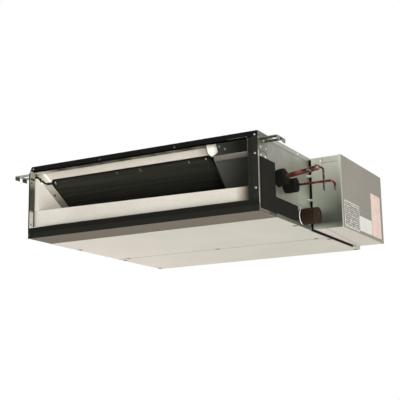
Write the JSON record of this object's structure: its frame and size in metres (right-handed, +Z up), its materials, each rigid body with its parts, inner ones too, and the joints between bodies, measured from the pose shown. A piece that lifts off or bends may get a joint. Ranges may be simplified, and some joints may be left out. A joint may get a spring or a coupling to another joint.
{
  "type": "ducted air conditioner indoor unit",
  "caption": "Slim ceiling-hung ducted air conditioner indoor unit with leaning coil, foam drain pan, paired centrifugal fans, side electrical box and suspension brackets.",
  "frame": {"origin": "middle of the casing's 700 by 700 mm footprint, on the plane of its underside", "axes": "+X toward the electrical box and pipes, +Y from the air outlet toward the inlet, +Z up"},
  "size_m": [0.8872, 0.7016, 0.2],
  "materials": {
    "casing_steel": "galvanised, faint spangle",
    "frame_black": "satin black over galvanised steel",
    "dark_steel": "dull dark coating",
    "foam_brown": "closed-cell foam, matt",
    "foam_black": "closed-cell foam, matt",
    "foam_white": "moulded foam, fine beads",
    "fin_aluminium": "coated dark",
    "copper": "drawn copper tube, slightly oxidised",
    "pipe_foam": "closed-cell foam sleeve",
    "valve_brass": "machined",
    "white_plastic": "moulded",
    "black_plastic": "moulded",
    "grey_plastic": "moulded",
    "cap_rubber": "dark brown rubber",
    "motor_paint": "satin",
    "shaft_steel": "turned",
    "screw_zinc": "zinc plated",
    "board_green": "lacquered board",
    "filter_net": "fine woven net"
  },
  "bodies": {
    "casing": {"top_panel": "casing_steel", "left_side_panel": "casing_steel", "right_side_panel": "casing_steel", "front_bottom_panel": "casing_steel", "rear_bottom_panel": "casing_steel", "front_base_panel": "casing_steel", "bottom_foam": "foam_brown", "side_foam": "foam_black", "outlet_frame": "frame_black", "outlet_collar": "casing_steel", "header_cover": "dark_steel", "top_insulation": "foam_white", "top_insulation_end": "foam_white", "left_insulation": "foam_white", "drain_pan": "foam_white", "coil_fins": "fin_aluminium", "coil_tubes": "copper", "left_tube_sheet": "casing_steel", "right_tube_sheet": "casing_steel", "gas_header": "copper", "gas_pipe": "copper", "gas_pipe_sleeve": "pipe_foam", "liquid_header": "copper", "liquid_pipe": "copper", "liquid_pipe_sleeve": "pipe_foam", "expansion_valve": "valve_brass", "expansion_valve_coil": "black_plastic", "drain_socket": "grey_plastic", "drain_ring": "white_plastic", "drain_cap": "cap_rubber", "fan_bulkhead": "casing_steel", "fan_casing_left_upper": "black_plastic", "fan_casing_left_lower": "black_plastic", "fan_casing_right_upper": "black_plastic", "fan_casing_right_lower": "black_plastic", "fan_motor": "motor_paint", "motor_rings": "foam_black", "motor_mount": "casing_steel", "motor_clamps": "casing_steel", "inlet_frame": "casing_steel", "filter_rails": "grey_plastic", "bracket_front_left": "casing_steel", "bracket_front_right": "casing_steel", "bracket_rear_left": "casing_steel", "bracket_rear_right": "casing_steel", "control_box": "casing_steel", "control_box_cover": "casing_steel", "box_seal": "foam_black", "control_board": "board_green", "board_standoffs": "white_plastic", "board_components": "black_plastic", "terminal_blocks": "white_plastic", "cable_grommets": "cap_rubber", "bottom_panel_screws": "screw_zinc", "pan_head_screws": "screw_zinc"},
    "fan_rotor": {"fan_wheel_left": "grey_plastic", "fan_wheel_right": "grey_plastic", "fan_shaft": "shaft_steel"},
    "air_filter": {"filter_frame": "black_plastic", "filter_mesh": "filter_net"}
  },
  "joints": [
    {"name": "fan_spin", "type": "hinge", "parent": "casing", "child": "fan_rotor", "pos_m": [0, 0.082, 0.091], "axis": [1, 0, 0], "continuous": true},
    {"name": "filter_slide", "type": "slide", "parent": "casing", "child": "air_filter", "axis": [-1, 0, 0], "range_m": [0, 0.6]}
  ]
}
